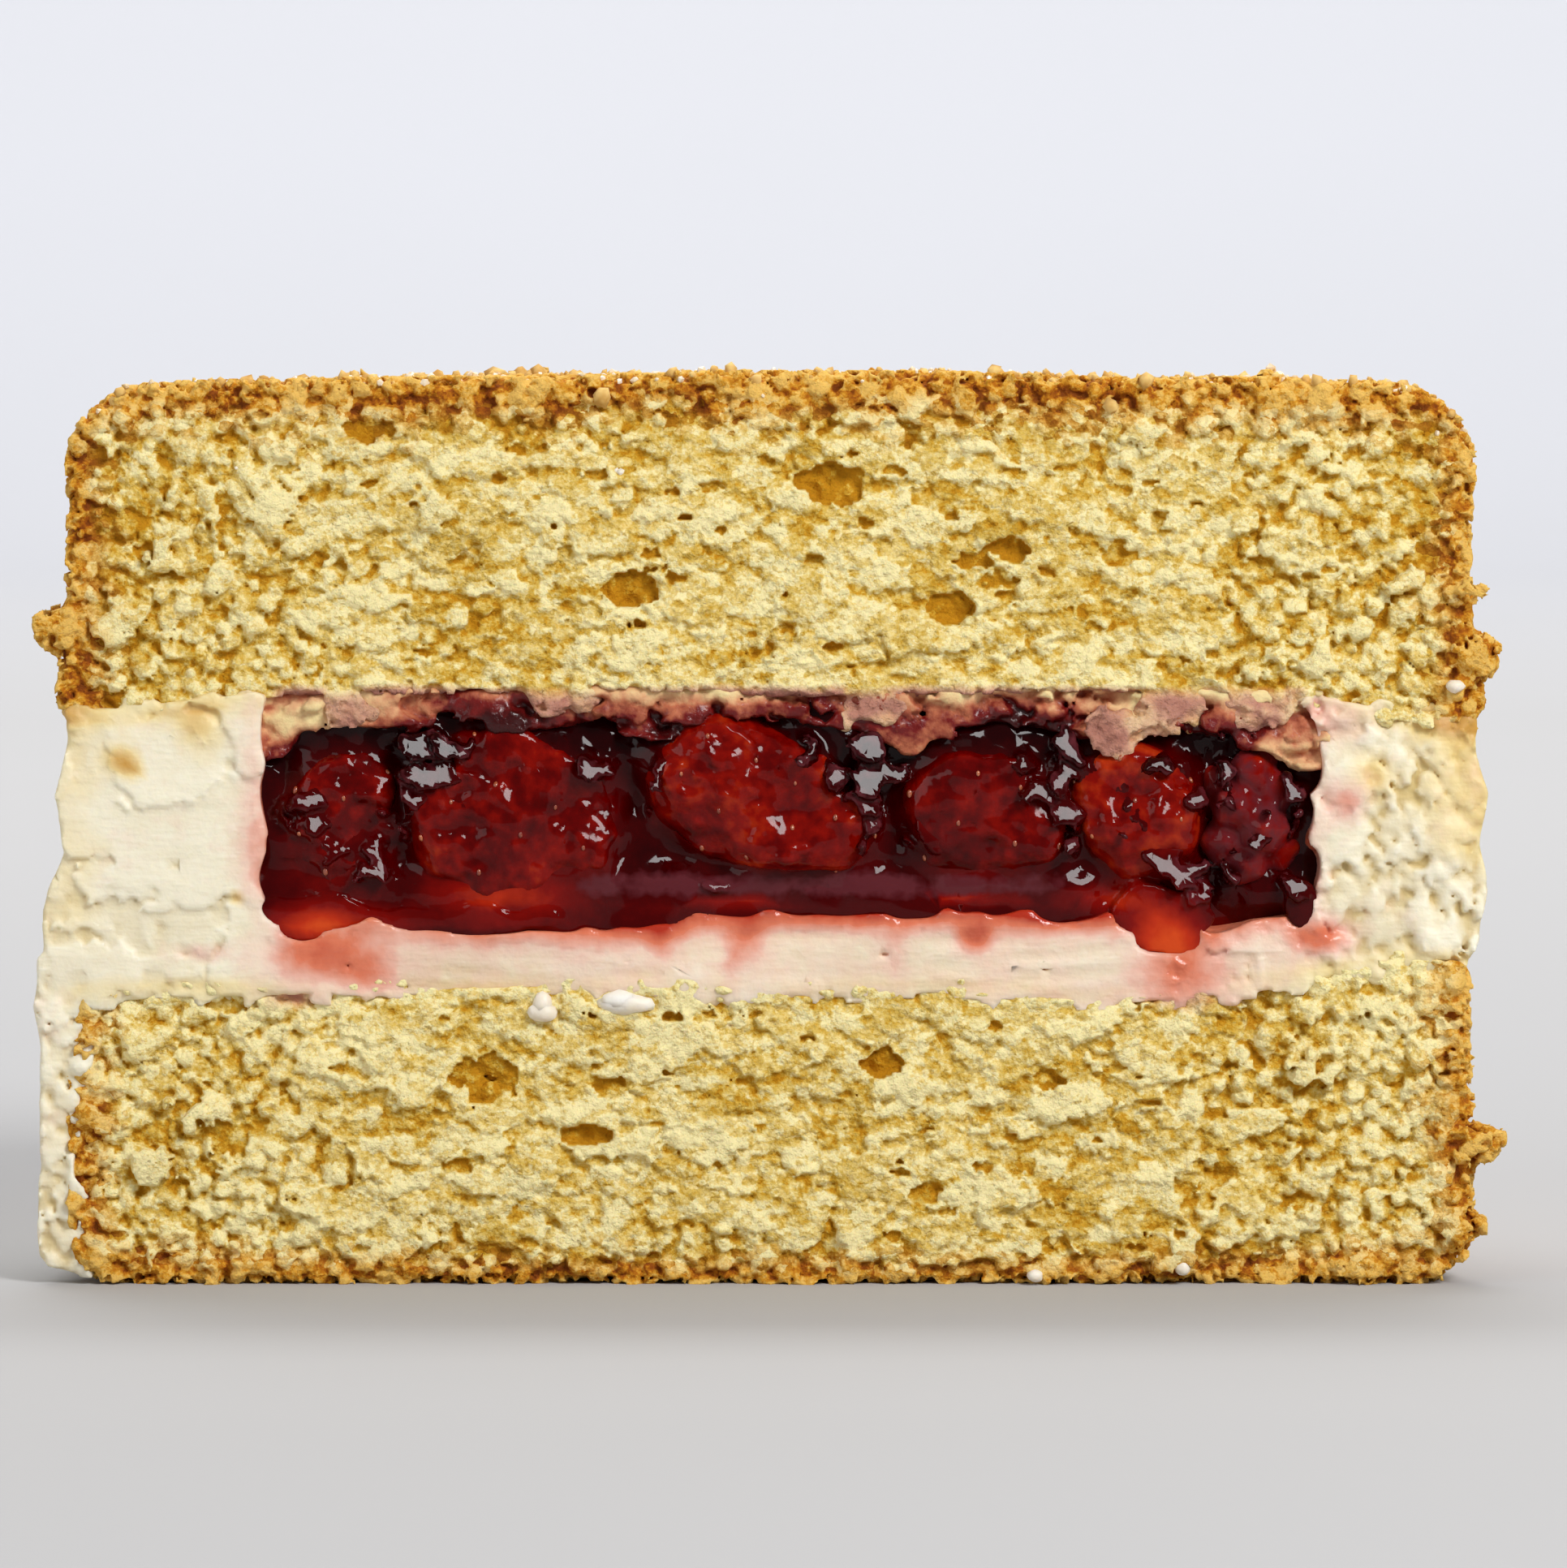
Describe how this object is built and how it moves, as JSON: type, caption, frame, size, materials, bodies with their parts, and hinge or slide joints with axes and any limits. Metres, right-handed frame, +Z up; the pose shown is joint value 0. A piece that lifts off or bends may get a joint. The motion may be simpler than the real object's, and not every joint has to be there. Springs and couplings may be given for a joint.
{
  "type": "victoria sponge cake half",
  "caption": "Half of a small round victoria sponge cake, cut straight across: sponge layers with buttercream and a pool of strawberry jam with fruit between them.",
  "frame": {"origin": "middle of the half cake's footprint, on the surface that it stands on", "axes": "+Z up, +X along the straight cut from left to right as seen from the cut side, -Y out of the cut face"},
  "size_m": [0.0774, 0.0388, 0.0483],
  "materials": {
    "sponge": "torn golden sponge crumb, browned on the outside, matte",
    "buttercream": "pale whipped buttercream, satin",
    "jam": "dark red glossy strawberry jam, wet and translucent",
    "fruit": "pieces of soft red fruit in syrup, glossy"
  },
  "bodies": {
    "root": {"sponge_lower": "sponge", "sponge_upper": "sponge", "buttercream": "buttercream", "jam": "jam", "strawberry_1": "fruit", "strawberry_2": "fruit", "strawberry_3": "fruit", "strawberry_4": "fruit", "strawberry_5": "fruit", "raspberry": "fruit"}
  },
  "joints": []
}
